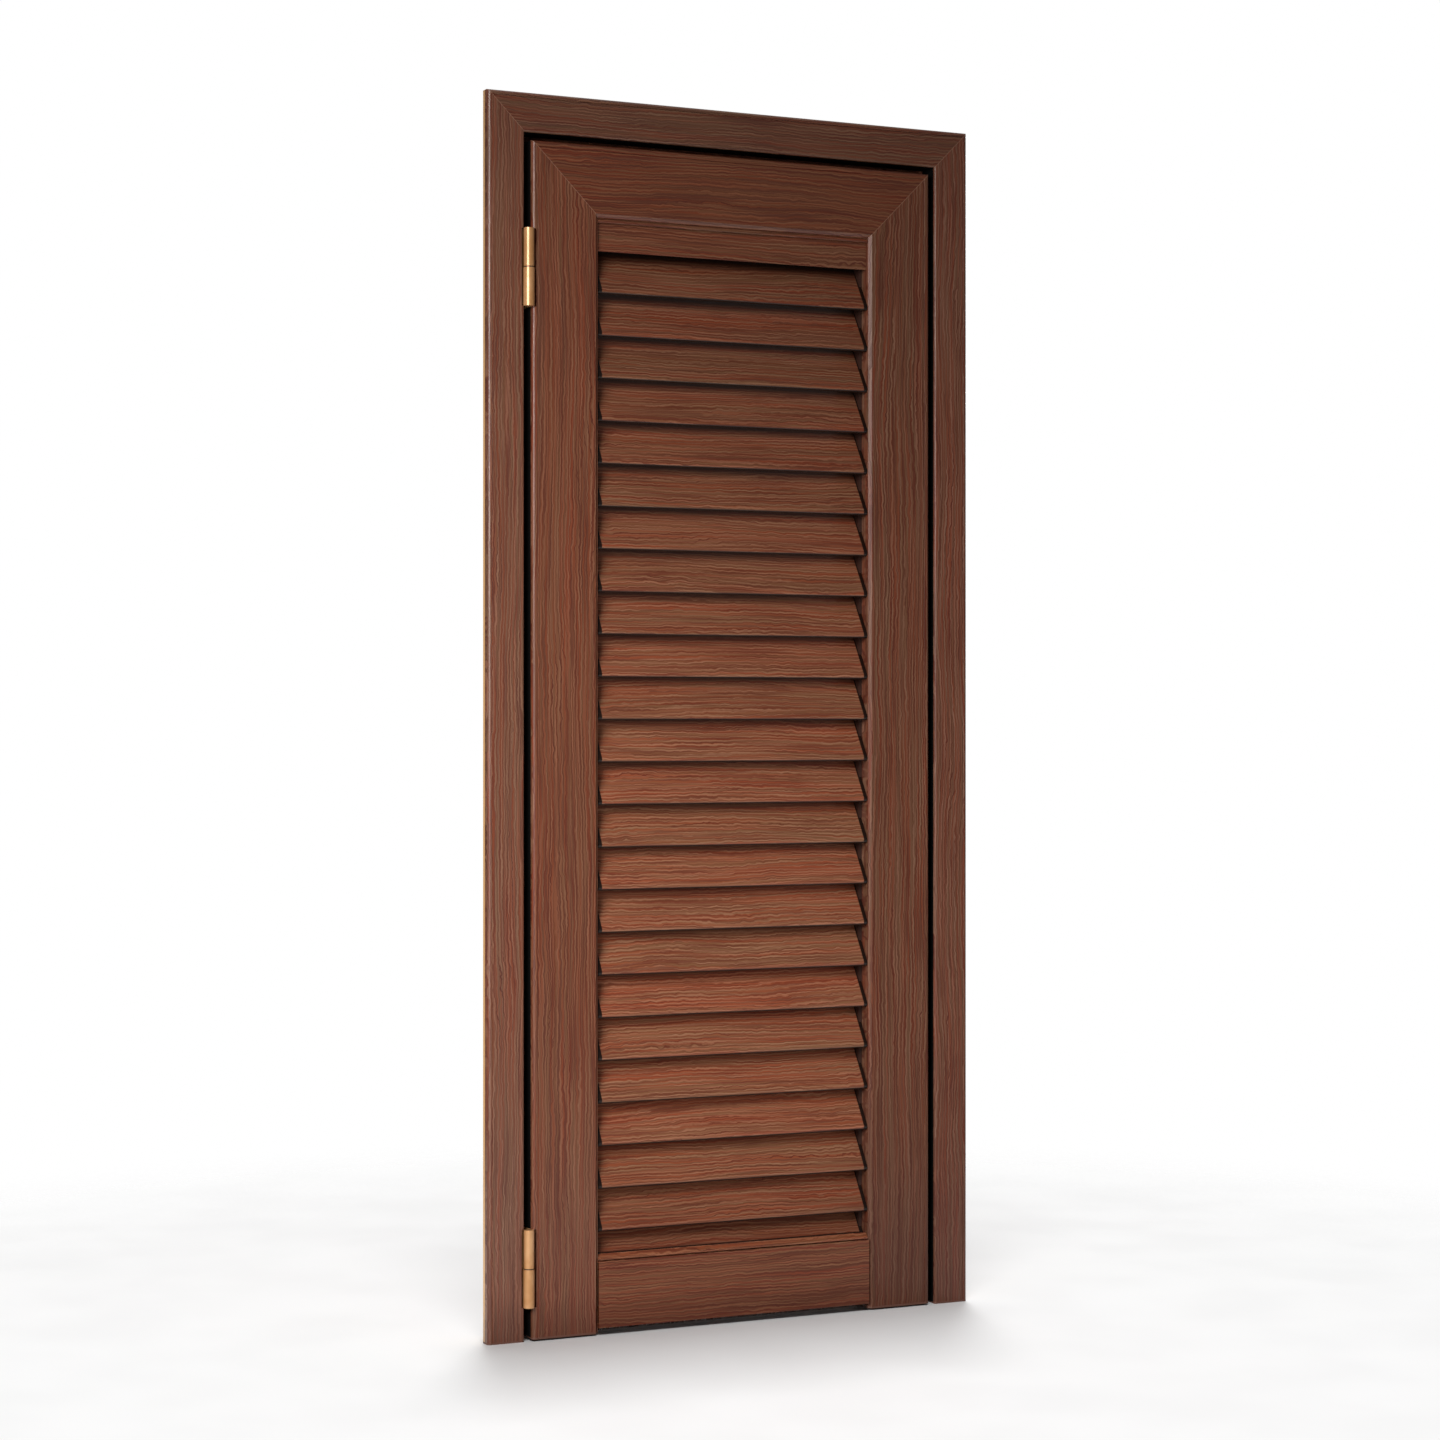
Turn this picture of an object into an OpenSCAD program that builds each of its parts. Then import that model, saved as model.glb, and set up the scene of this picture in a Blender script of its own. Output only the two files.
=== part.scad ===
// Louvred shutter door in a three-sided frame, with fixed slats and two barrel hinges.
// X runs along the width, Y from the outside face to the back, Z up from the floor.

/* [Frame] */
// Overall width of the frame
frame_w = 902; // [700:1:1100]
// Overall height of the frame
frame_h = 2050; // [1990:1:2080]
// Depth of the frame from its face to its back
frame_d = 70; // [68:1:90]
// Width of the frame's visible face
face_w = 65; // [60:1:70]
// Depth of the flange that laps over the wall
flange_d = 21; // [18:1:24]
// How far the body behind the flange is set in from the frame's edge
body_inset = 25; // [20:1:27]
// How far the stop stands into the doorway behind the leaf
stop_w = 24; // [20:1:28]

/* [Leaf] */
// Gap between the leaf and the frame at the sides
side_gap = 12.5; // [11:0.5:14]
// Gap between the leaf and the head
top_gap = 13; // [11:0.5:16]
// Height of the leaf's lowest edge above the floor
floor_gap = 3; // [2:0.5:6]
// Width of the stiles and of the top rail
stile_w = 119; // [110:1:125]
// Thickness of the leaf
leaf_t = 60; // [58:1:62]
// How far the leaf's face stands out of the frame's face
leaf_proud = 3; // [2:0.5:3.5]
// Height of the bottom rail's lower edge above the floor
bottom_rail_z = 12; // [10:1:20]
// Height of the bottom rail
bottom_rail_h = 110; // [90:1:140]

/* [Slats] */
// Angle of the slats from the vertical, in degrees
slat_tilt = 30; // [26:1:31]
// Distance between the centres of a slat's front and back rounding
slat_chord = 86; // [84:1:88]
// Radius of a slat's front edge
slat_nose_r = 6; // [5:0.5:7]
// Radius of a slat's back edge
slat_tail_r = 3; // [2.5:0.5:4]
// How far the slats' front edges lie behind the leaf's face
slat_setback = 5; // [4:0.5:7]
// Wall thickness of a slat
slat_wall = 1.4; // [1:0.1:2]

/* [Hinges] */
// Length of a hinge barrel
hinge_h = 128; // [110:2:140]
// Height of the lower hinge's middle above the floor
lower_hinge_z = 120; // [100:1:200]
// Height of the upper hinge's middle above the floor
upper_hinge_z = 1763; // [1500:1:1850]
// Radius of the frame's knuckle
frame_knuckle_r = 9.25; // [8.75:0.25:9.5]
// Radius of the leaf's knuckle
leaf_knuckle_r = 8.75; // [8:0.25:9.25]
// Radius of the hinge pin
pin_r = 4; // [3:0.5:5]

/* [Hidden] */
$fn = 48;
slat_count = 24;
SLATS = [for (i = [1:slat_count]) str("slat_", i < 10 ? "0" : "", i)];
over = 1;                                     // how far a cutting shape runs past what it cuts
wall = 2.4;                                   // wall of the hollow profiles
web = 2;                                      // webs inside the profiles
BROWN = [0.45, 0.28, 0.21];
DARK_BROWN = [0.25, 0.15, 0.11];
BRASS = [0.78, 0.60, 0.34];
STEEL = [0.62, 0.63, 0.65];
RUBBER = [0.06, 0.06, 0.06];

// Depths, measured along Y. The whole object's depth is centred on Y = 0.
front_reach = leaf_proud + frame_knuckle_r;   // the knuckles stand this far out of the frame's face
face_y = (front_reach - frame_d) / 2;         // the frame's face
leaf_y = face_y - leaf_proud;                 // the leaf's face
stop_gap = 4;                                 // between the leaf's back and the stop
stop_y = leaf_t - leaf_proud + stop_gap;      // the stop's front, behind the frame's face
foot_h = 3;                                   // thickness of the end caps

// Edges of the profiles
bullnose_r = 6;
inner_edge_r = 5;
back_edge_r = 3;
frame_groove_s = 8;                           // from the frame's outer edge to its groove
leaf_groove_s = 10;                           // from the leaf's outer edge to its groove
groove_w = 1.8;
groove_depth = 1.2;
bevel = 5;                                    // bevel on the inner edge of the stiles and top rail
bevel_step = 0.8;
lining_t = 1.2;                               // black linings, let into the profiles
lining_y = [inner_edge_r, 44];                // where the reveal lining runs, behind the frame's face
edge_lining_u = [8, 50];                      // where the edge lining runs, behind the leaf's face
leaf_webs = [42, 80];                         // the leaf profile's inner webs, from its outer edge

// The stop is a profile of its own, with a rib in a groove of the jamb
stop_wall = 1.6;
rib = [1.4, 3];                               // how deep and how wide it is
rib_fit = 0.05;
seal_s = [6, 18];                             // where the seal lies on the stop's front
seal_base_t = 1.8;
seal_bulb_r = 1.7;

// The leaf
leaf_x = frame_w / 2 - face_w - side_gap;     // half of its width
leaf_top = frame_h - face_w - top_gap;
inner_x = leaf_x - stile_w;                   // half of the width between the stiles
inner_top = leaf_top - stile_w;
rail_top = bottom_rail_z + bottom_rail_h;

// Trims and slats. Slat 1 is the top one, and the last one is cut off at the bottom trim.
bead_r = 3.2;
bead_set = 0.4;                               // how far the bead lies behind the slats' front edges
bead_drop = 1.4;                              // how far the bead hangs below the top rail
shadow_gap = 3.2;                             // open line between the bead and the strip
trim_depth = 54.5;                            // how far the closing profile reaches below the top rail
strip_u = 11;                                 // the top trim's flat strip, behind the leaf's face
strip_t = 2.4;
strip_bottom = inner_top - trim_depth;
last_slat_drop = 22.7;                        // how far the last slat would reach below the rail's top
slat_pitch = (strip_bottom - rail_top + last_slat_drop) / slat_count;
trim_t = 2;                                   // thickness of the trims' plates
weather_h = 11;                               // height of the bottom trim's sloped bead
slat_end_gap = 1.5;
comb_u = 27;                                  // the combs' front, behind the leaf's face
comb_t = 5.6;
comb_fit = 0.1;

// Hinges
hinge_x = -frame_w / 2 + face_w + side_gap / 2;
knuckle_gap = 1.6;                            // between the two knuckles, filled by the washer
plate_t = 3;
plate_y = 40;                                 // how far the plates reach behind the frame's face
clear_y = 10;                                 // a plate starts here beside the other half's knuckle
pocket_s = 5.5;                               // pocket cut into the frame's edge round the barrel
leaf_pocket_s = 7.3;                          // pocket cut into the leaf's edge round the barrel
pocket_y = 9.5;                               // depth of both pockets behind the frame's face
bore_fit = 0.05;
pin_setback = 14;                             // from a barrel's end to the pin's end
pin_half = hinge_h / 2 - pin_setback;
knuckle_ease = 0.6;                           // step at the ends of the knuckles
screw_r = 2.4;
screw_head_r = 4.8;
screw_l = 15;
screw_y = 26;
screw_step = 44;

// Fixings through the frame
fixing_r = 4.5;
fixing_y = 52;
fixing_mid_z = 1025;
fixing_z = [-750, -250, 250, 750];
fixing_x = 250;

// Joining pieces
cleat_arm = 110;
cleat_fit = 0.1;
leaf_cleat_u = [16, 44];
bracket_l = 50;
bracket_u = [18, 42];
bracket_z = [45, 100];
rail_screw_r = 3;
rail_screw_head_r = 5;
rail_screw_z = [58, 87];
brush_u = [13, 25];
brush_base = 6;
brush_hair_t = 6;
brush_z = 5;

// ---------- flat sections ----------

// What a rounded corner of radius r cuts off a square corner at the origin
module corner_cut(r) {
    difference() {
        translate([-over, -over]) square(r + over);
        translate([r, r]) circle(r);
    }
}

module groove(at) {
    polygon([[at - groove_w / 2, -over / 100], [at + groove_w / 2, -over / 100], [at, groove_depth]]);
}

// A block between two corners
module span(from, to) {
    translate(from) square(to - from);
}

// Outline of the frame's profile: s runs from the outer edge inwards, y from the face back
module frame_outline() {
    difference() {
        union() {
            span([0, 0], [face_w, flange_d]);
            span([body_inset, 0], [face_w - lining_t, frame_d]);
            span([body_inset, lining_y[1]], [face_w, frame_d]);
        }
        corner_cut(bullnose_r);
        translate([face_w, 0]) mirror([1, 0]) corner_cut(inner_edge_r);
        groove(frame_groove_s);
        span([face_w - lining_t, lining_y[0]], [face_w + over, lining_y[1]]);
    }
}

// The middle of the stop's depth, where its rib is
function rib_y() = (stop_y + frame_d) / 2;

module stop_section() {
    difference() {
        union() {
            span([face_w, stop_y], [face_w + stop_w, frame_d]);
            span([face_w - rib[0], rib_y() - rib[1] / 2], [face_w + over, rib_y() + rib[1] / 2]);
        }
        span([face_w + stop_wall, stop_y + stop_wall], [face_w + stop_w - stop_wall, frame_d - stop_wall]);
    }
}

module frame_section() {
    reveal = face_w - lining_t;
    pocket = face_w - pocket_s;
    difference() {
        frame_outline();
        span([wall + over, wall + over], [body_inset, flange_d - web]);
        span([body_inset + web, wall], [pocket - web, pocket_y + web]);
        span([body_inset + web, pocket_y + web - over], [reveal - web, frame_d - web]);
        span([pocket, wall + over], [reveal - web, pocket_y]);
        span(
            [face_w - rib[0] - rib_fit, rib_y() - rib[1] / 2 - rib_fit],
            [face_w + over, rib_y() + rib[1] / 2 + rib_fit]
        );
    }
}

// Outline of the stiles and the top rail: s runs from the outer edge inwards, u from the face back
module leaf_outline() {
    difference() {
        square([stile_w, leaf_t]);
        corner_cut(bullnose_r);
        translate([0, leaf_t]) mirror([0, 1]) corner_cut(back_edge_r);
        translate([stile_w, leaf_t]) rotate(180) corner_cut(back_edge_r);
        groove(leaf_groove_s);
        polygon([
            [stile_w - bevel - bevel_step, -over],
            [stile_w - bevel - bevel_step, bevel_step],
            [stile_w - bevel_step, bevel + bevel_step],
            [stile_w + over, bevel + bevel_step],
            [stile_w + over, -over]
        ]);
        span([-over, edge_lining_u[0]], [lining_t, edge_lining_u[1]]);
    }
}

module leaf_section() {
    edge = lining_t + web;
    behind_pocket = pocket_y + leaf_proud + web;
    back = leaf_t - wall;
    difference() {
        leaf_outline();
        span([edge, wall + over], [leaf_pocket_s, behind_pocket - web]);
        span([leaf_pocket_s + web, wall], [leaf_webs[0], back]);
        span([edge, behind_pocket], [leaf_pocket_s + web + over, back]);
        span([leaf_webs[0] + web, wall], [leaf_webs[1], back]);
        span([leaf_webs[1] + web, wall], [stile_w - bevel - web, back]);
        span([leaf_webs[1] + web, bevel + wall], [stile_w - web, back]);
    }
}

// A slat's outline with its front rounding at the origin; grow widens it
module slat_outline(grow) {
    nose = slat_nose_r + grow;
    tail = slat_tail_r + grow;
    lean = asin((nose - tail) / slat_chord);
    rotate(-slat_tilt) union() {
        circle(nose);
        translate([0, slat_chord]) circle(tail);
        polygon([
            [-nose * cos(lean), nose * sin(lean)],
            [nose * cos(lean), nose * sin(lean)],
            [tail * cos(lean), slat_chord + tail * sin(lean)],
            [-tail * cos(lean), slat_chord + tail * sin(lean)]
        ]);
    }
}

// ---------- placing ----------

// Runs a section (depth, height) along X, with its depth measured from the leaf's face
module along_x(length) {
    translate([0, leaf_y, 0]) rotate([90, 0, 90]) linear_extrude(length, center = true) children();
}

// Stands a frame section at the left-hand edge of the frame
module frame_upright(from, to) {
    translate([-frame_w / 2, face_y, from]) linear_extrude(to - from) children();
}

// Stands a leaf section at the left-hand edge of the leaf
module leaf_upright(from, to) {
    translate([-leaf_x, leaf_y, from]) linear_extrude(to - from) children();
}

// Keeps what lies under the mitre that falls inwards from the top left-hand corner (x, z)
module under_mitre(x, z) {
    difference() {
        children();
        translate([x, frame_d, z]) rotate([90, 0, 0]) linear_extrude(2 * frame_d)
            polygon([[-over, over], [stile_w, -stile_w], [stile_w, over]]);
    }
}

// Keeps what lies between the two mitres of a top piece whose corners are at x and -x
module between_mitres(x, z) {
    intersection() {
        children();
        translate([0, frame_d, z]) rotate([90, 0, 0]) linear_extrude(2 * frame_d)
            polygon([[-x, 0], [x, 0], [x - stile_w, -stile_w], [stile_w - x, -stile_w]]);
    }
}

module flip() {
    mirror([1, 0, 0]) children();
}

// A block given by its lowest and highest corner
module block(from, to) {
    translate(from) cube(to - from);
}

// ---------- hinges ----------

module at_hinges() {
    for (z = [lower_hinge_z, upper_hinge_z]) translate([0, 0, z]) children();
}

// The pockets cut into the two edges, each round the whole barrel
module frame_pocket() {
    at_hinges() block(
        [hinge_x - side_gap / 2 - pocket_s, face_y - over, -hinge_h / 2],
        [hinge_x, face_y + pocket_y, hinge_h / 2]
    );
}

module leaf_pocket() {
    at_hinges() block(
        [hinge_x, leaf_y - over, -hinge_h / 2],
        [-leaf_x + leaf_pocket_s, face_y + pocket_y, hinge_h / 2]
    );
}

// Where the hinge plates interrupt a lining
module plate_gap(x, half_w) {
    at_hinges() block([x - half_w, leaf_y, -hinge_h / 2], [x + half_w, face_y + plate_y + over, hinge_h / 2]);
}

// One screw, its head's flat face at the origin and its shank along -X
module plate_screw() {
    rotate([0, -90, 0]) union() {
        cylinder(h = screw_head_r - screw_r, r1 = screw_head_r, r2 = screw_r);
        cylinder(h = screw_l, r = screw_r);
    }
}

module plate_screw_hole() {
    fit = bore_fit;
    rotate([0, -90, 0]) union() {
        cylinder(h = screw_head_r - screw_r, r1 = screw_head_r + fit, r2 = screw_r + fit);
        translate([0, 0, -over]) cylinder(h = screw_l + 2 * over, r = screw_r + fit);
        translate([0, 0, -over]) cylinder(h = over, r = screw_head_r + fit);
    }
}

// The places of the screws on the frame's plate, in the leaf's gap
module at_frame_screws() {
    plate_x = hinge_x - side_gap / 2 - lining_t + plate_t;
    for (dz = [-screw_step, 0, screw_step])
        translate([plate_x, face_y + screw_y, dz]) children();
}

// The places of the screws on the leaf's plate, turned to point into the leaf
module at_leaf_screws() {
    plate_x = hinge_x + side_gap / 2 + lining_t - plate_t;
    for (dz = [-screw_step, 0, screw_step])
        translate([plate_x, face_y + screw_y, dz]) flip() children();
}

// The frame's half of a hinge: the lower knuckle and its plate
module hinge_frame_half() {
    plate_x = hinge_x - side_gap / 2 - lining_t;
    top = -knuckle_gap / 2;
    difference() {
        union() {
            translate([hinge_x, leaf_y, -hinge_h / 2 + knuckle_ease])
                cylinder(h = hinge_h / 2 + top - 2 * knuckle_ease, r = frame_knuckle_r);
            translate([hinge_x, leaf_y, -hinge_h / 2])
                cylinder(h = hinge_h / 2 + top, r = frame_knuckle_r - knuckle_ease);
            block([plate_x, face_y, -hinge_h / 2], [plate_x + plate_t, face_y + plate_y, top]);
            block(
                [plate_x, face_y + clear_y, -hinge_h / 2],
                [plate_x + plate_t, face_y + plate_y, hinge_h / 2]
            );
        }
        translate([hinge_x, leaf_y, -pin_half]) cylinder(h = pin_half + over, r = pin_r + bore_fit);
        at_frame_screws() plate_screw_hole();
    }
}

// The leaf's half of a hinge: the upper knuckle and its plate
module hinge_leaf_half() {
    plate_x = hinge_x + side_gap / 2 + lining_t - plate_t;
    bottom = knuckle_gap / 2;
    difference() {
        union() {
            translate([hinge_x, leaf_y, bottom + knuckle_ease])
                cylinder(h = hinge_h / 2 - bottom - 2 * knuckle_ease, r = leaf_knuckle_r);
            translate([hinge_x, leaf_y, bottom])
                cylinder(h = hinge_h / 2 - bottom, r = leaf_knuckle_r - knuckle_ease);
            block([plate_x, face_y, bottom], [plate_x + plate_t, face_y + plate_y, hinge_h / 2]);
            block(
                [plate_x, face_y + clear_y, -hinge_h / 2],
                [plate_x + plate_t, face_y + plate_y, hinge_h / 2]
            );
        }
        translate([hinge_x, leaf_y, -over]) cylinder(h = pin_half + 2 * over, r = pin_r + bore_fit);
        at_leaf_screws() plate_screw_hole();
    }
}

module hinge_pin() {
    translate([hinge_x, leaf_y, -pin_half]) cylinder(h = 2 * pin_half, r = pin_r);
}

module lower_hinge_frame_leaf() {
    color(BRASS) translate([0, 0, lower_hinge_z]) hinge_frame_half();
}

module upper_hinge_frame_leaf() {
    color(BRASS) translate([0, 0, upper_hinge_z]) hinge_frame_half();
}

module lower_hinge_door_leaf() {
    color(BRASS) translate([0, 0, lower_hinge_z]) hinge_leaf_half();
}

module upper_hinge_door_leaf() {
    color(BRASS) translate([0, 0, upper_hinge_z]) hinge_leaf_half();
}

module lower_hinge_pin() {
    color(STEEL) translate([0, 0, lower_hinge_z]) hinge_pin();
}

module upper_hinge_pin() {
    color(STEEL) translate([0, 0, upper_hinge_z]) hinge_pin();
}

// One washer on each frame knuckle; it carries the leaf's knuckle
module hinge_washers() {
    rub = 0.1;
    color(RUBBER) at_hinges() translate([hinge_x, leaf_y, -knuckle_gap / 2]) difference() {
        cylinder(h = knuckle_gap - rub, r = leaf_knuckle_r - 1);
        translate([0, 0, -over]) cylinder(h = knuckle_gap + 2 * over, r = pin_r + bore_fit);
    }
}

module frame_hinge_screws() {
    color(STEEL) at_hinges() at_frame_screws() plate_screw();
}

module leaf_hinge_screws() {
    color(STEEL) at_hinges() at_leaf_screws() plate_screw();
}

// ---------- frame ----------

// The holes through both walls of a jamb for its wall fixings
module jamb_fixing_holes() {
    for (dz = fixing_z)
        translate([-frame_w / 2, face_y + fixing_y, fixing_mid_z + dz])
            rotate([0, 90, 0]) cylinder(h = face_w + over, r = fixing_r);
}

// A mitred upright of the frame, on its foot, and a mitred length across the top
module mitred_upright() {
    under_mitre(-frame_w / 2, frame_h) frame_upright(foot_h, frame_h) children();
}

module mitred_top() {
    between_mitres(frame_w / 2, frame_h) translate([0, face_y, frame_h]) rotate([0, 90, 0])
        linear_extrude(frame_w, center = true) children();
}

module plain_jamb() {
    difference() {
        mitred_upright() frame_section();
        jamb_fixing_holes();
    }
}

module jamb_left() {
    color(BROWN) difference() {
        plain_jamb();
        frame_pocket();
        at_hinges() at_frame_screws() plate_screw_hole();
    }
}

module jamb_right() {
    color(BROWN) flip() plain_jamb();
}

module head() {
    color(BROWN) difference() {
        mitred_top() frame_section();
        for (x = [-fixing_x, fixing_x])
            translate([x, face_y + fixing_y, frame_h - face_w - over])
                cylinder(h = face_w + 2 * over, r = fixing_r);
    }
}

module stop_left() {
    color(BROWN) mitred_upright() stop_section();
}

module stop_right() {
    color(BROWN) flip() mitred_upright() stop_section();
}

module stop_head() {
    color(BROWN) mitred_top() stop_section();
}

// A corner piece inside the hollow jamb and head, in the corner's own coordinates
module frame_cleat() {
    inner = face_w - lining_t - web;
    low = [body_inset + web + cleat_fit, pocket_y + web + cleat_fit];
    high = [inner - cleat_fit, fixing_y - 2 * fixing_r];
    translate([-frame_w / 2, face_y, frame_h]) union() {
        block([low[0], low[1], -cleat_arm], [high[0], high[1], -low[0]]);
        block([low[0], low[1], -high[0]], [cleat_arm, high[1], -low[0]]);
    }
}

module frame_cleat_left() {
    color(STEEL) frame_cleat();
}

module frame_cleat_right() {
    color(STEEL) flip() frame_cleat();
}

module jamb_foot() {
    frame_upright(0, foot_h) union() {
        frame_outline();
        span([face_w - over, stop_y], [face_w + stop_w, frame_d]);
    }
}

module jamb_foot_left() {
    color(DARK_BROWN) jamb_foot();
}

module jamb_foot_right() {
    color(DARK_BROWN) flip() jamb_foot();
}

// The black strip let into the reveal, in one length round the three sides
module reveal_lining() {
    x = frame_w / 2 - face_w;
    z = frame_h - face_w;
    from = [face_y + lining_y[0], foot_h];
    back = face_y + lining_y[1];
    color(RUBBER) difference() {
        block([-x - lining_t, from[0], from[1]], [x + lining_t, back, z + lining_t]);
        block([-x, from[0] - over, from[1] - over], [x, back + over, z]);
        plate_gap(-x, 2 * lining_t);
    }
}

// The seal on the stop, in one length round the three sides
module stop_seal() {
    color(RUBBER) union() {
        mitred_upright() seal_section();
        flip() mitred_upright() seal_section();
        mitred_top() seal_section();
    }
}

module seal_section() {
    translate([face_w, stop_y - seal_base_t]) union() {
        span([seal_s[0], 0], [seal_s[1], seal_base_t]);
        translate([(seal_s[0] + seal_s[1]) / 2, 0]) circle(seal_bulb_r);
    }
}

// ---------- leaf ----------

module rail_screw_places() {
    for (z = rail_screw_z)
        translate([-inner_x, leaf_y + (bracket_u[0] + bracket_u[1]) / 2, z]) rotate([0, 90, 0]) children();
}

module plain_stile() {
    difference() {
        under_mitre(-leaf_x, leaf_top) leaf_upright(floor_gap + foot_h, leaf_top) leaf_section();
        rail_screw_places() cylinder(h = 4 * web, r = rail_screw_r + bore_fit, center = true);
    }
}

module stile_left() {
    color(BROWN) difference() {
        plain_stile();
        leaf_pocket();
        at_hinges() at_leaf_screws() plate_screw_hole();
    }
}

module stile_right() {
    color(BROWN) flip() plain_stile();
}

module top_rail() {
    color(BROWN) between_mitres(leaf_x, leaf_top)
        translate([0, leaf_y, leaf_top]) rotate([0, 90, 0])
            linear_extrude(2 * leaf_x, center = true) leaf_section();
}

module bottom_rail() {
    slot_top = bottom_rail_z + brush_base;
    color(BROWN) along_x(2 * inner_x) difference() {
        span([0, bottom_rail_z], [leaf_t, rail_top]);
        translate([leaf_t, bottom_rail_z]) mirror([1, 0]) corner_cut(back_edge_r);
        span([wall, slot_top + wall], [leaf_t - wall, rail_top - wall]);
        span([brush_u[0], bottom_rail_z - over], [brush_u[1], slot_top]);
        span([wall, bottom_rail_z + wall], [brush_u[0] - web, slot_top]);
        span([brush_u[1] + web, bottom_rail_z + wall], [leaf_t - wall - over, slot_top]);
    }
}

module leaf_cleat() {
    from = leaf_webs[0] + web + cleat_fit;
    to = leaf_webs[1] - cleat_fit;
    translate([-leaf_x, leaf_y, leaf_top]) union() {
        block([from, leaf_cleat_u[0], -2 * cleat_arm], [to, leaf_cleat_u[1], -from]);
        block([from, leaf_cleat_u[0], -to], [2 * cleat_arm, leaf_cleat_u[1], -from]);
    }
}

module leaf_cleat_left() {
    color(STEEL) leaf_cleat();
}

module leaf_cleat_right() {
    color(STEEL) flip() leaf_cleat();
}

module stile_foot() {
    leaf_upright(floor_gap, floor_gap + foot_h) leaf_outline();
}

module stile_foot_left() {
    color(DARK_BROWN) stile_foot();
}

module stile_foot_right() {
    color(DARK_BROWN) flip() stile_foot();
}

// The block inside the end of the bottom rail that the stile is screwed to
module rail_bracket() {
    difference() {
        block(
            [-inner_x, leaf_y + bracket_u[0], bracket_z[0]],
            [-inner_x + bracket_l, leaf_y + bracket_u[1], bracket_z[1]]
        );
        rail_screw_places() cylinder(h = bracket_l - over, r = rail_screw_r + bore_fit);
    }
}

module rail_bracket_left() {
    color(STEEL) rail_bracket();
}

module rail_bracket_right() {
    color(STEEL) flip() rail_bracket();
}

module rail_screws() {
    shank = 35;
    head_h = 5;
    color(STEEL) for (side = [0, 1]) mirror([side, 0, 0]) rail_screw_places() union() {
        translate([0, 0, -web]) cylinder(h = shank, r = rail_screw_r);
        translate([0, 0, -web - head_h]) cylinder(h = head_h, r = rail_screw_head_r);
    }
}

// The closing profile under the top rail: a bead, a flat strip with a rounded lip, and a clip
module top_trim() {
    neck_u = strip_u + strip_t / 2;
    bead_mid = [slat_setback + bead_set + bead_r, inner_top - bead_drop - bead_r];
    strip_top = bead_mid[1] - bead_r - shadow_gap;
    lip_r = 1.6;
    clip_u = 22;
    clip_h = 36;
    plate_back_u = 47;
    color(BROWN) along_x(2 * inner_x - over) union() {
        span([bead_mid[0], inner_top - trim_t], [plate_back_u, inner_top]);
        translate(bead_mid) circle(bead_r);
        span([neck_u, strip_top - over], [neck_u + strip_t, inner_top - over]);
        span([strip_u, strip_bottom + lip_r], [strip_u + strip_t, strip_top]);
        translate([strip_u + lip_r, strip_bottom + lip_r]) circle(lip_r);
        span([clip_u, inner_top - clip_h], [clip_u + trim_t, inner_top - over]);
    }
}

// The profile on the bottom rail: a sloped bead sheds water outside over a thin slit
module bottom_trim() {
    nose_u = 4;
    nose_h = 2.4;
    crest_u = [12.4, 15];
    slit_u = 10;
    slit_top = rail_top + 1.8;
    color(BROWN) along_x(2 * inner_x - over) polygon([
        [slit_u, rail_top],
        [slit_u, slit_top],
        [nose_u, slit_top],
        [nose_u, slit_top + nose_h],
        [crest_u[0], rail_top + weather_h],
        [crest_u[1], rail_top + weather_h],
        [crest_u[1], rail_top + trim_t],
        [leaf_t - nose_u, rail_top + trim_t],
        [leaf_t - nose_u, rail_top]
    ]);
}

// Places a slat outline at slat i, in depth and height
module at_slat(i) {
    translate([slat_setback + slat_nose_r, strip_bottom - i * slat_pitch + slat_nose_r]) children();
}

module slat(i) {
    color(BROWN) along_x(2 * (inner_x - slat_end_gap)) intersection() {
        at_slat(i) difference() {
            slat_outline(0);
            slat_outline(-slat_wall);
        }
        span([0, rail_top + trim_t], [leaf_t, inner_top]);
    }
}

// The slotted strip on the inside of a stile that holds the slats' ends
module slat_comb() {
    translate([comb_t / 2 - inner_x, 0, 0]) along_x(comb_t) difference() {
        span([comb_u, rail_top + trim_t], [leaf_t - over, inner_top - trim_t]);
        for (i = [1:slat_count]) at_slat(i) slat_outline(comb_fit);
    }
}

module slat_comb_left() {
    color(DARK_BROWN) slat_comb();
}

module slat_comb_right() {
    color(DARK_BROWN) flip() slat_comb();
}

// The black strip let into the leaf's edge, in one length round the three sides
module edge_lining() {
    from = [leaf_y + edge_lining_u[0], floor_gap + foot_h];
    back = leaf_y + edge_lining_u[1];
    color(RUBBER) difference() {
        block([-leaf_x, from[0], from[1]], [leaf_x, back, leaf_top]);
        block(
            [lining_t - leaf_x, from[0] - over, from[1] - over],
            [leaf_x - lining_t, back + over, leaf_top - lining_t]
        );
        plate_gap(-leaf_x, 2 * lining_t);
    }
}

// The brush under the bottom rail: its strip sits in the rail's slot
module bottom_brush() {
    mid = (brush_u[0] + brush_u[1]) / 2;
    color(RUBBER) along_x(2 * inner_x - over) union() {
        span([brush_u[0], bottom_rail_z], [brush_u[1], bottom_rail_z + brush_base]);
        span([mid - brush_hair_t / 2, brush_z], [mid + brush_hair_t / 2, bottom_rail_z + over]);
    }
}

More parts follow.
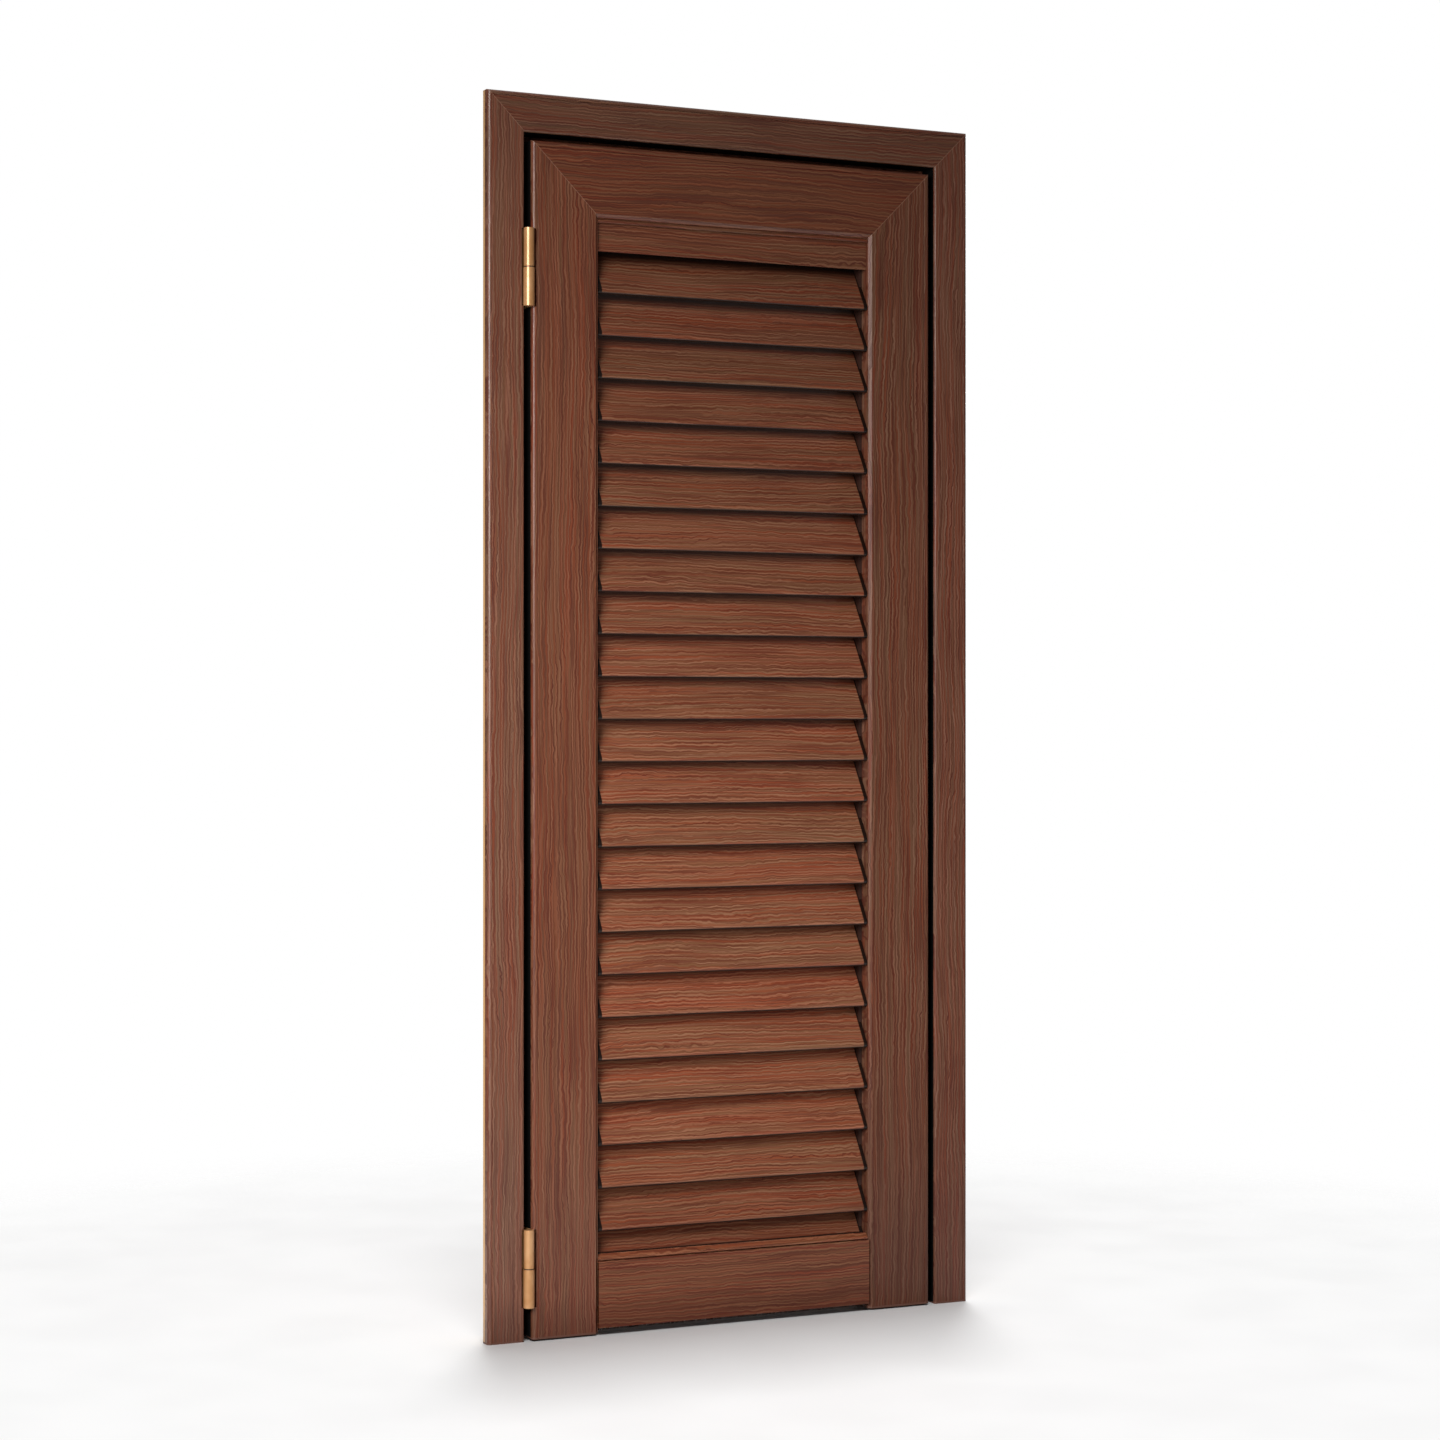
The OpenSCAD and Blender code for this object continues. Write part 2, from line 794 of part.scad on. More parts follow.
jamb_left();
jamb_right();
head();
stop_left();
stop_right();
stop_head();
frame_cleat_left();
frame_cleat_right();
jamb_foot_left();
jamb_foot_right();
reveal_lining();
stop_seal();
lower_hinge_frame_leaf();
upper_hinge_frame_leaf();
lower_hinge_pin();
upper_hinge_pin();
hinge_washers();
frame_hinge_screws();
stile_left();
stile_right();
top_rail();
bottom_rail();
leaf_cleat_left();
leaf_cleat_right();
stile_foot_left();
stile_foot_right();
rail_bracket_left();
rail_bracket_right();
rail_screws();
top_trim();
bottom_trim();
slat_comb_left();
slat_comb_right();
edge_lining();
bottom_brush();
lower_hinge_door_leaf();
upper_hinge_door_leaf();
leaf_hinge_screws();
for (i = [1:slat_count]) slat(i);
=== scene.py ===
"""Louvred shutter door with its frame: finishes, fine pieces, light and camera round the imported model."""
import math
import random

import bmesh
import bpy
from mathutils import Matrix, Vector


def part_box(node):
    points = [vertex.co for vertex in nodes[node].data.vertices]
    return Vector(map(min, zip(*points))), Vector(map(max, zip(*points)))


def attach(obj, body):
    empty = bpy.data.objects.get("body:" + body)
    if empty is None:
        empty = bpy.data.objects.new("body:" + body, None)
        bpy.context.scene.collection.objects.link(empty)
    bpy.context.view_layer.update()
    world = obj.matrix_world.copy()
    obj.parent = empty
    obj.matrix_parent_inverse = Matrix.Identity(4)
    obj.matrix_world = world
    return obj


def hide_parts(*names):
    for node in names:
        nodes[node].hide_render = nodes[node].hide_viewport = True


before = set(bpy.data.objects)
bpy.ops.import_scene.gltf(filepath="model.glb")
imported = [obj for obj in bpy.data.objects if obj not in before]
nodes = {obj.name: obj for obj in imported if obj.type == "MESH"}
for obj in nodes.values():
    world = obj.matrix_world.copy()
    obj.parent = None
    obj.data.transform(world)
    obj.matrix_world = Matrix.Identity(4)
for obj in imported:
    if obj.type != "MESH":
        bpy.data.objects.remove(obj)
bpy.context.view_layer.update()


# ---------- sizes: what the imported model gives, and two that its slats are drawn with ----------

MM = 0.001
FACE_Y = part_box("jamb_left")[0][1]
FRAME_HALF_W, _, FRAME_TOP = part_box("head")[1]
LEAF_HALF_W, _, LEAF_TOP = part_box("top_rail")[1]
TRIM_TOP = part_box("bottom_trim")[1][2]
COMB_INNER_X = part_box("slat_comb_right")[0][0]
SLAT_TILT = math.radians(30)
NOSE_R = 6 * MM


# ---------- node helpers ----------

def srgb(r, g, b):
    """A colour given as 0 to 255 display values, turned into the linear values that shaders take."""
    def channel(c):
        c /= 255
        return c / 12.92 if c <= 0.04045 else ((c + 0.055) / 1.055) ** 2.4
    return (channel(r), channel(g), channel(b), 1.0)


class Net:
    """Short calls for building a node tree."""

    def __init__(self, tree):
        self.tree = tree

    def add(self, kind, **settings):
        node = self.tree.nodes.new(kind)
        for name, value in settings.items():
            setattr(node, name, value)
        return node

    def join(self, out, into):
        self.tree.links.new(out, into)

    def feed(self, socket, value):
        if isinstance(value, bpy.types.NodeSocket):
            self.join(value, socket)
        else:
            socket.default_value = value

    def math(self, operation, a, b=0.0, clamp=False):
        node = self.add("ShaderNodeMath", operation=operation, use_clamp=clamp)
        self.feed(node.inputs[0], a)
        self.feed(node.inputs[1], b)
        return node.outputs[0]

    def sway(self, noise, reach):
        """Turns a noise of 0 to 1 into a shift of half the reach either way."""
        return self.math("MULTIPLY", self.math("SUBTRACT", noise, 0.5), reach)

    def ramp(self, value, low, high, to_low=0.0, to_high=1.0, smooth=True):
        """Maps value from low..high to to_low..to_high and holds it at the ends."""
        node = self.add("ShaderNodeMapRange", interpolation_type="SMOOTHSTEP" if smooth else "LINEAR")
        self.feed(node.inputs["Value"], value)
        node.inputs["From Min"].default_value = low
        node.inputs["From Max"].default_value = high
        node.inputs["To Min"].default_value = to_low
        node.inputs["To Max"].default_value = to_high
        return node.outputs["Result"]

    def mix(self, factor, a, b, blend="MIX"):
        node = self.add("ShaderNodeMix", data_type="RGBA", blend_type=blend)
        self.feed(node.inputs["Factor"], factor)
        self.feed(node.inputs["A"], a)
        self.feed(node.inputs["B"], b)
        return node.outputs["Result"]

    def split(self, vector):
        node = self.add("ShaderNodeSeparateXYZ")
        self.join(vector, node.inputs[0])
        return node.outputs["X"], node.outputs["Y"], node.outputs["Z"]

    def gather(self, x, y, z):
        node = self.add("ShaderNodeCombineXYZ")
        for socket, value in zip(node.inputs, (x, y, z)):
            self.feed(socket, value)
        return node.outputs[0]

    def noise(self, vector, scale=1.0, detail=2.0):
        node = self.add("ShaderNodeTexNoise")
        self.join(vector, node.inputs["Vector"])
        node.inputs["Scale"].default_value = scale
        node.inputs["Detail"].default_value = detail
        return node.outputs["Fac"]

    def bump(self, height, strength, distance):
        node = self.add("ShaderNodeBump")
        node.inputs["Strength"].default_value = strength
        node.inputs["Distance"].default_value = distance
        self.join(height, node.inputs["Height"])
        return node.outputs["Normal"]


def new_group(name, inputs, outputs):
    """A node group with named sockets: each input is (name, kind, default)."""
    tree = bpy.data.node_groups.new(name, "ShaderNodeTree")
    for label, kind, default in inputs:
        socket = tree.interface.new_socket(name=label, in_out="INPUT", socket_type=kind)
        if default is not None:
            socket.default_value = default
    for label, kind in outputs:
        tree.interface.new_socket(name=label, in_out="OUTPUT", socket_type=kind)
    net = Net(tree)
    return net, net.add("NodeGroupInput").outputs, net.add("NodeGroupOutput").inputs


def place(net, group, **values):
    """Puts a group into a material and sets its inputs, by their names with _ for a space."""
    node = net.add("ShaderNodeGroup")
    node.node_tree = group
    for name, value in values.items():
        net.feed(node.inputs[name.replace("_", " ")], value)
    return node.outputs


def new_material(name, base=None, roughness=0.5, metallic=0.0, **sockets):
    """A Principled material; more sockets by their names with _ for a space."""
    material = bpy.data.materials.new(name)
    material.use_nodes = True
    net = Net(material.node_tree)
    shader = material.node_tree.nodes["Principled BSDF"]
    if base is not None:
        shader.inputs["Base Color"].default_value = base
    shader.inputs["Roughness"].default_value = roughness
    shader.inputs["Metallic"].default_value = metallic
    for label, value in sockets.items():
        shader.inputs[label.replace("_", " ")].default_value = value
    place_of = net.add("ShaderNodeTexCoord").outputs["Object"]
    return material, net, shader, place_of


# ---------- shared effects ----------

FLOAT = "NodeSocketFloat"
VECTOR = "NodeSocketVector"
COLOR = "NodeSocketColor"

RING_SPACING = 4.8 * MM
PALE_SPACING = 6.2 * MM
THROUGH_SHARE = 0.3  # how fast the figure changes from front to back, against 1 across the grain


def make_wood_print():
    """The printed grain. Its vector is in metres: X and Y across the grain, Z along it."""
    net, given, out = new_group(
        "wood_print",
        [
            ("Vector", VECTOR, None),
            ("Shift", FLOAT, 0.0),
            ("Ground", COLOR, srgb(104, 59, 38)),
            ("Red Band", COLOR, srgb(113, 53, 33)),
            ("Olive Band", COLOR, srgb(99, 64, 43)),
            ("Hairline", COLOR, srgb(76, 30, 19)),
            ("Pale Fibre", COLOR, srgb(134, 92, 70)),
            ("Contrast", FLOAT, 1.0),
            ("Tint", COLOR, (1.0, 1.0, 1.0, 1.0)),
        ],
        [("Color", COLOR), ("Gloss", FLOAT), ("Height", FLOAT)],
    )
    x, y, z = net.split(given["Vector"])
    across = net.math("ADD", x, net.math("MULTIPLY", given["Shift"], 1.37))
    along = net.math("ADD", z, net.math("MULTIPLY", given["Shift"], 3.11))

    def stretched(place_across, width, length, detail=2.0):
        """Noise drawn out along the grain: width and length are the size of its patches."""
        at = net.gather(
            net.math("MULTIPLY", place_across, 1 / width),
            net.math("MULTIPLY", y, THROUGH_SHARE / width),
            net.math("MULTIPLY", along, 1 / length),
        )
        return net.noise(at, detail=detail)

    def lines(turns, full, gone, strength):
        """Soft lines, one to each whole turn: at full strength near the line and gone further off."""
        off = net.math("ABSOLUTE", net.math("SUBTRACT", net.math("FRACT", turns), 0.5))
        return net.ramp(off, full, gone, strength, 0.0)

    # the whole figure wanders slowly and wriggles finely
    wander = net.sway(stretched(across, 110 * MM, 360 * MM, 1), 30 * MM)
    wriggle = net.sway(stretched(across, 18 * MM, 18 * MM), 6.6 * MM)
    bent = net.math("ADD", net.math("ADD", across, wander), wriggle)

    # narrow red and olive bands, with the ground colour laid over them more in some places than in others
    bands = stretched(bent, 4.6 * MM, 420 * MM, 1)
    broad = stretched(bent, 34 * MM, 550 * MM, 1)
    color = net.mix(net.ramp(bands, 0.38, 0.62), given["Red Band"], given["Olive Band"])
    color = net.mix(net.ramp(broad, 0.34, 0.66, 0.1, 0.4), color, given["Ground"])

    # pale lines and fibres
    drift = net.math("MULTIPLY", stretched(across, 12 * MM, 250 * MM, 1), 1.6)
    pale_turns = net.math("ADD", net.math("MULTIPLY", bent, 1 / PALE_SPACING), drift)
    fibres = stretched(bent, 1.5 * MM, 260 * MM, 0)
    pale = net.math("ADD", lines(pale_turns, 0.05, 0.32, 0.46), net.ramp(fibres, 0.48, 0.66, 0.0, 0.20))
    color = net.mix(net.math("MULTIPLY", pale, given["Contrast"]), color, given["Pale Fibre"])

    # dark growth rings: lines of equal height on a slope with long soft hills, which they close round
    hills = net.sway(stretched(across, 52 * MM, 330 * MM, 1), 8.5)
    rings = lines(net.math("ADD", net.math("MULTIPLY", bent, 1 / RING_SPACING), hills), 0.02, 0.14, 1.0)
    ring_here = net.ramp(stretched(bent, 16 * MM, 160 * MM), 0.38, 0.62, 0.55, 1.0)
    hairs = net.ramp(stretched(bent, 1.7 * MM, 190 * MM, 0), 0.34, 0.50, 1.0, 0.0)
    hair_here = net.ramp(stretched(bent, 22 * MM, 100 * MM, 1), 0.30, 0.62, 0.75, 1.0)
    hairs = net.math("MULTIPLY", net.math("MULTIPLY", hairs, hair_here), 0.75)
    dark = net.math("MAXIMUM", net.math("MULTIPLY", rings, ring_here), hairs)
    dark = net.math("MULTIPLY", net.math("MULTIPLY", dark, 0.95), given["Contrast"])
    color = net.mix(dark, color, given["Hairline"])

    net.join(net.mix(1.0, color, given["Tint"], "MULTIPLY"), out["Color"])
    gloss = net.math("ADD", net.ramp(bands, 0.3, 0.7, 0.31, 0.40), net.math("MULTIPLY", dark, 0.15))
    net.join(gloss, out["Gloss"])
    height = net.math("SUBTRACT", net.math("MULTIPLY", fibres, 0.7), net.math("MULTIPLY", dark, 0.8))
    net.join(height, out["Height"])
    return net.tree


def make_mitre_line():
    """A mask of the thin joint line that falls at 45 degrees from a top corner, the same on both sides."""
    net, given, out = new_group(
        "mitre_line",
        [
            ("Vector", VECTOR, None),
            ("Corner X", FLOAT, 0.0),
            ("Corner Z", FLOAT, 0.0),
            ("Half Width", FLOAT, 0.4 * MM),
        ],
        [("Mask", FLOAT)],
    )
    x, _, z = net.split(given["Vector"])
    inward = net.math("SUBTRACT", given["Corner X"], net.math("ABSOLUTE", x))
    down = net.math("SUBTRACT", given["Corner Z"], z)
    off = net.math("ABSOLUTE", net.math("MULTIPLY", net.math("SUBTRACT", inward, down), math.sqrt(0.5)))
    net.join(net.math("LESS_THAN", off, given["Half Width"]), out["Mask"])
    return net.tree


def make_foot_shade():
    """Painted shade that gathers at the foot of the door and thins out upwards."""
    net, given, out = new_group(
        "foot_shade", [("Vector", VECTOR, None), ("Reach", FLOAT, 90 * MM)], [("Mask", FLOAT)]
    )
    _, _, z = net.split(given["Vector"])
    uneven = net.sway(net.noise(given["Vector"], 30, 3), 0.5)
    level = net.math("ADD", net.math("DIVIDE", z, given["Reach"]), uneven)
    net.join(net.ramp(level, 0.0, 1.0, 1.0, 0.0), out["Mask"])
    return net.tree


# where the painted shade behind the slat above starts and ends, measured up the slat's face from its front
# edge
SHADE_START = 60 * MM
SHADE_END = 79 * MM
NEVER_BELOW = -1.0


def make_slat_painted_shade():
    """Painted shade on a slat: under its front edge, at its ends, behind the slat above and below a height.
    """
    net, given, out = new_group(
        "slat_painted_shade",
        [
            ("Vector", VECTOR, None),
            ("Normal", VECTOR, None),
            ("Nose Y", FLOAT, 0.0),
            ("Nose Z", FLOAT, 0.0),
            ("Start", FLOAT, SHADE_START),
            ("End", FLOAT, SHADE_END),
            ("Dark Below", FLOAT, NEVER_BELOW),
            ("Half Length", FLOAT, 1.0),
        ],
        [("Mask", FLOAT)],
    )
    x, y, z = net.split(given["Vector"])
    _, facing_back, facing_up = net.split(given["Normal"])
    behind = net.math("SUBTRACT", y, given["Nose Y"])
    above = net.math("SUBTRACT", z, given["Nose Z"])

    # up the slope of the slat from its front edge, on the side that faces forwards
    up_slope = net.math(
        "ADD",
        net.math("MULTIPLY", behind, math.sin(SLAT_TILT)),
        net.math("MULTIPLY", above, math.cos(SLAT_TILT)),
    )
    # painted shade on the part of the face that the slat above keeps in shadow, with a wavy edge
    wobble = net.sway(net.noise(given["Vector"], 60, 2), 2 * MM)
    past_start = net.math("SUBTRACT", net.math("ADD", up_slope, wobble), given["Start"])
    span = net.math("SUBTRACT", given["End"], given["Start"])
    deep = net.ramp(net.math("DIVIDE", past_start, span), 0.0, 1.0)
    deep = net.math("MULTIPLY", deep, net.ramp(facing_back, -0.6, -0.2, 1.0, 0.0))

    # painted shade on the underside of the front edge
    near_front = net.ramp(behind, 0.0, 4 * MM, 1.0, 0.0)
    under = net.math("MULTIPLY", net.ramp(facing_up, -0.75, -0.30, 1.0, 0.0), near_front)
    # painted shade in the gaps at the slat's ends
    from_end = net.math("SUBTRACT", given["Half Length"], net.math("ABSOLUTE", x))
    at_end = net.ramp(from_end, 1.6 * MM, 2.8 * MM, 1.0, 0.0)
    # painted shade below a given height
    low = net.ramp(net.math("SUBTRACT", given["Dark Below"], z), 0.0, 3 * MM)

    mask = net.math("MAXIMUM", net.math("MAXIMUM", deep, at_end), net.math("MAXIMUM", under, low))
    net.join(mask, out["Mask"])
    return net.tree


WOOD_PRINT = make_wood_print()
MITRE_LINE = make_mitre_line()
FOOT_SHADE = make_foot_shade()
SLAT_PAINTED_SHADE = make_slat_painted_shade()


# ---------- finishes ----------

# the painted highlight along the mitre joints, and its share
PAINTED_JOINT_HIGHLIGHT = srgb(150, 112, 92)
JOINT_SHARE = 0.6
BASE_COAT = srgb(206, 160, 106)
# the colour and share of the painted shade on the slats
PAINTED_SHADE_COLOR = srgb(12, 6, 4)
PAINTED_SHADE_SHARE = 0.97
# the colour and share of the painted shade at the foot
FOOT_SHADE_COLOR = srgb(58, 22, 10)
FOOT_SHADE_SHARE = 0.42
BARE_WIDTH = 26 * MM
PRINTED_DEPTH = 13 * MM


def grain_vector(net, spot, along):
    """Turns an object-space place so that its third part runs along the member."""
    x, y, z = net.split(spot)
    return net.gather(x, y, z) if along == "Z" else net.gather(z, y, x)


def add_joint_line(net, spot, color, corner):
    """Draws a painted highlight along the mitre's thin joint line over a coat."""
    mask = place(net, MITRE_LINE, Vector=spot, Corner_X=corner[0], Corner_Z=corner[1])["Mask"]
    return net.mix(net.math("MULTIPLY", mask, JOINT_SHARE), color, PAINTED_JOINT_HIGHLIGHT)


def bare_base_coat(net, spot, color):
    """Leaves the ochre base coat bare on the rear of the frame's outer edge, past where the print stops."""
    x, y, z = net.split(spot)
    from_side = net.math("SUBTRACT", FRAME_HALF_W, net.math("ABSOLUTE", x))
    from_top = net.math("SUBTRACT", FRAME_TOP, z)
    outer = net.math("LESS_THAN", net.math("MINIMUM", from_side, from_top), BARE_WIDTH)
    rear = net.math("GREATER_THAN", net.math("SUBTRACT", y, FACE_Y), PRINTED_DEPTH)
    return net.mix(net.math("MULTIPLY", outer, rear), color, BASE_COAT)


def wood_finish(
    name, along, shift, tint, gloss=0.3, corner=None, bare_edge=False, foot_shade_reach=90 * MM, shade=None
):
    """The printed wood coat on a profile that runs along X or Z; shade gives a slat its painted shade, and
    the reach says how high the painted shade at the foot goes.
    """
    material, net, shader, spot = new_material(
        name, Specular_IOR_Level=gloss, Coat_Weight=0.14, Coat_Roughness=0.24
    )
    wood = place(net, WOOD_PRINT, Vector=grain_vector(net, spot, along), Shift=shift, Tint=(*tint, 1.0))
    color = wood["Color"]
    if corner:
        color = add_joint_line(net, spot, color, corner)
    if bare_edge:
        color = bare_base_coat(net, spot, color)
    # painted shade on a slat
    if shade:
        facing = net.add("ShaderNodeTexCoord").outputs["Normal"]
        mask = place(net, SLAT_PAINTED_SHADE, Vector=spot, Normal=facing, **shade)["Mask"]
        color = net.mix(net.math("MULTIPLY", mask, PAINTED_SHADE_SHARE), color, PAINTED_SHADE_COLOR)
    # painted shade at the foot
    if foot_shade_reach:
        mask = place(net, FOOT_SHADE, Vector=spot, Reach=foot_shade_reach)["Mask"]
        color = net.mix(net.math("MULTIPLY", mask, FOOT_SHADE_SHARE), color, FOOT_SHADE_COLOR)
    net.join(color, shader.inputs["Base Color"])
    net.join(wood["Gloss"], shader.inputs["Roughness"])
    net.join(net.bump(wood["Height"], 0.12, 0.15 * MM), shader.inputs["Normal"])
    return material


# black rubber, also used as painted shade in the gaps beside the leaf
def rubber_and_gap_shade_finish():
    material, net, shader, spot = new_material(
        "black_rubber_and_gap_shade", srgb(6, 6, 6), roughness=0.7, Specular_IOR_Level=0.15
    )
    net.join(net.bump(net.noise(spot, 900, 2), 0.2, 0.1 * MM), shader.inputs["Normal"])
    return material


def brass_finish():
    material, net, shader, spot = new_material(
        "satin_brass", metallic=0.4, Coat_Weight=0.5, Coat_Roughness=0.2
    )
    x, y, z = net.split(spot)
    brushed = net.noise(net.gather(x, y, net.math("MULTIPLY", z, 0.03)), 2400, 3)
    cloud = net.noise(spot, 40, 2)
    color = net.mix(net.ramp(cloud, 0.3, 0.7), srgb(202, 152, 104), srgb(186, 132, 80))
    net.join(color, shader.inputs["Base Color"])
    net.join(net.ramp(brushed, 0.3, 0.7, 0.34, 0.44), shader.inputs["Roughness"])
    net.join(net.bump(brushed, 0.04, 0.03 * MM), shader.inputs["Normal"])
    return material


def steel_finish():
    material, net, shader, spot = new_material("zinc_plated_steel", metallic=1.0)
    cloud = net.noise(spot, 300, 3)
    net.join(net.mix(cloud, srgb(190, 192, 196), srgb(160, 162, 168)), shader.inputs["Base Color"])
    net.join(net.ramp(cloud, 0.3, 0.7, 0.25, 0.42), shader.inputs["Roughness"])
    return material


def aluminium_finish():
    material, net, shader, spot = new_material("mill_aluminium", metallic=1.0)
    x, y, z = net.split(spot)
    lines = net.noise(net.gather(x, y, net.math("MULTIPLY", z, 0.05)), 900, 3)
    net.join(net.mix(lines, srgb(205, 206, 208), srgb(182, 184, 188)), shader.inputs["Base Color"])
    net.join(net.ramp(lines, 0.3, 0.7, 0.32, 0.48), shader.inputs["Roughness"])
    return material


def plastic_finish(name, color):
    material, net, shader, spot = new_material(name)
    speck = net.noise(spot, 1500, 2)
    dark = tuple(c * 0.8 for c in color[:3]) + (1.0,)
    net.join(net.mix(speck, color, dark), shader.inputs["Base Color"])
    net.join(net.bump(speck, 0.15, 0.08 * MM), shader.inputs["Normal"])
    return material


def brush_finish():
    material, net, shader, spot = new_material("brush_pile", roughness=0.9, Specular_IOR_Level=0.08)
    clumps = net.noise(spot, 700, 3)
    net.join(net.mix(clumps, srgb(52, 27, 17), srgb(26, 13, 9)), shader.inputs["Base Color"])
    return material


def paint(material, *names):
    """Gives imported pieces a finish."""
    for name in names:
        mesh = nodes[name].data
        mesh.materials.clear()
        mesh.materials.append(material)


# ---------- which piece has which finish ----------

FRAME_COAT = {"corner": (FRAME_HALF_W, FRAME_TOP), "bare_edge": True}
LEAF_CORNER = (LEAF_HALF_W, LEAF_TOP)
PLAIN = (1.0, 1.0, 1.0)
# the right-hand jamb and stile carry the painted shade at the foot this high up
HIGH_FOOT_SHADE = 600 * MM

# each coat gives its name, the way its grain runs, where it starts in the print, its tint and its gloss
# the darker tints of the head, the top rail and the right-hand jamb and stile are painted shade, where less
# light falls
paint(wood_finish("frame_coat_left", "Z", 0.0, (1.05, 1.18, 1.30), 0.42, **FRAME_COAT), "jamb_left")
paint(
    wood_finish("frame_coat_right", "Z", 0.7, (1.01, 1.13, 1.32), 0.2, foot_shade_reach=HIGH_FOOT_SHADE, **FRAME_COAT),
    "jamb_right",
)
paint(wood_finish("frame_coat_head", "X", 1.3, (0.82, 0.90, 0.94), 0.45, **FRAME_COAT), "head")
paint(wood_finish("leaf_coat_left", "Z", 2.1, PLAIN, corner=LEAF_CORNER), "stile_left")
paint(
    wood_finish("leaf_coat_right", "Z", 2.9, (0.92, 1.03, 1.14), 0.16, LEAF_CORNER, foot_shade_reach=HIGH_FOOT_SHADE),
    "stile_right",
)
paint(wood_finish("leaf_coat_top", "X", 3.7, (0.86, 0.74, 0.62), 0.45, LEAF_CORNER), "top_rail")
paint(wood_finish("leaf_coat_bottom", "X", 4.6, (1.00, 0.90, 0.76), 0.2), "bottom_rail")
paint(wood_finish("top_trim_coat", "X", 5.3, (0.92, 0.90, 0.86)), "top_trim")
# the bottom trim's lighter tint is a painted highlight on its bead
paint(wood_finish("bottom_trim_coat", "X", 5.7, (1.35, 1.25, 1.10), foot_shade_reach=None), "bottom_trim")
paint(wood_finish("stop_coat", "Z", 8.2, PLAIN), "stop_left", "stop_right")
paint(wood_finish("stop_coat_head", "X", 9.1, PLAIN), "stop_head")


def slat_tint(number):
    """Painted light: slats lighten from the top to the seventeenth and then darken, and the last two carry
    more painted shade; each is also a little warmer or cooler.
    """
    middle, swing, lightest, half_wave = 1.30, 0.22, 16, 18
    painted_shade_on = {22: 0.86, 23: 0.68}
    light = middle + swing * math.cos(math.pi * (number - lightest) / half_wave)
    light *= painted_shade_on.get(number, 1.0)
    warmth = 1.0 + 0.04 * math.sin(2.3 * number)
    return (light * warmth, light * 1.05, light * 1.05)


def paint_slats():
    """A coat for each slat, cut from elsewhere in the print, with the painted shade that this slat has."""
    slats = sorted(name for name in nodes if name.startswith("slat_") and name[5:].isdigit())
    # the top two slats get a longer painted shade behind the slat above
    shade_from = {0: 40 * MM, 1: 50 * MM}
    # painted shade in the corner above the bottom trim, on the lowest slat
    painted_corner_shade = TRIM_TOP + 2.5 * MM
    first_shift, shift_step = 6.0, 0.83
    for number, name in enumerate(slats):
        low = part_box(name)[0]
        shade = {
            "Nose_Y": low[1] + NOSE_R,
            "Nose_Z": low[2] + NOSE_R,
            "Start": shade_from.get(number, SHADE_START),
            "Dark_Below": painted_corner_shade if name == slats[-1] else NEVER_BELOW,
            "Half_Length": COMB_INNER_X,
        }
        shift = first_shift + shift_step * number
        coat = wood_finish(
            "slat_coat_" + name[5:], "X", shift, slat_tint(number), 0.22, foot_shade_reach=None, shade=shade
        )
        paint(coat, name)


paint_slats()
# the reveal and edge linings are black sheets that put painted shade into the gaps beside the leaf; the stop
# seal is real black rubber
paint(rubber_and_gap_shade_finish(), "reveal_lining", "stop_seal", "edge_lining")
brush_pile = brush_finish()
paint(brush_pile, "bottom_brush")
paint(plastic_finish("washer_plastic", srgb(30, 24, 20)), "hinge_washers")
paint(
    plastic_finish("brown_plastic", srgb(96, 60, 46)),
    "jamb_foot_left", "jamb_foot_right", "stile_foot_left", "stile_foot_right",
)
# the combs' brown plastic is made darker as painted shade in the recess between the slat ends and the stiles
paint(plastic_finish("dark_brown_plastic_and_shade", srgb(52, 28, 20)), "slat_comb_left", "slat_comb_right")
paint(
    brass_finish(),
    "lower_hinge_frame_leaf", "upper_hinge_frame_leaf", "lower_hinge_door_leaf", "upper_hinge_door_leaf",
)
zinc_steel = steel_finish()
paint(
    zinc_steel,
    "lower_hinge_pin", "upper_hinge_pin", "frame_hinge_screws", "leaf_hinge_screws", "rail_screws",
)
paint(
    aluminium_finish(),
    "frame_cleat_left", "frame_cleat_right", "leaf_cleat_left", "leaf_cleat_right",
    "rail_bracket_left", "rail_bracket_right",
)


# ---------- fine pieces that stand for plainer ones ----------

def new_piece(name, bm, body, stands_for, material):
    """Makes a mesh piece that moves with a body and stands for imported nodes."""
    bmesh.ops.recalc_face_normals(bm, faces=bm.faces)
    mesh = bpy.data.meshes.new(name)
    bm.to_mesh(mesh)
    bm.free()
    for face in mesh.polygons:
        face.use_smooth = True
    mesh.set_sharp_from_angle(angle=math.radians(35))
    piece = bpy.data.objects.new(name, mesh)
    bpy.context.scene.collection.objects.link(piece)
    mesh.materials.append(material)
    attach(piece, body)
    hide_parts(*stands_for)


def bristle(bm, foot, tip, radius):
    """One five-sided hair that thins towards its tip."""
    corners = [math.tau * k / 5 for k in range(5)]
    rings = []
    for middle, r in ((foot, radius), (foot.lerp(tip, 0.6), radius * 0.85), (tip, radius * 0.35)):
        rings.append([bm.verts.new(middle + Vector((r * math.cos(a), r * math.sin(a), 0))) for a in corners])
    for upper, lower in zip(rings, rings[1:]):
        for k in range(5):
            bm.faces.new((upper[k], upper[(k + 1) % 5], lower[(k + 1) % 5], lower[k]))
    bm.faces.new(rings[-1])


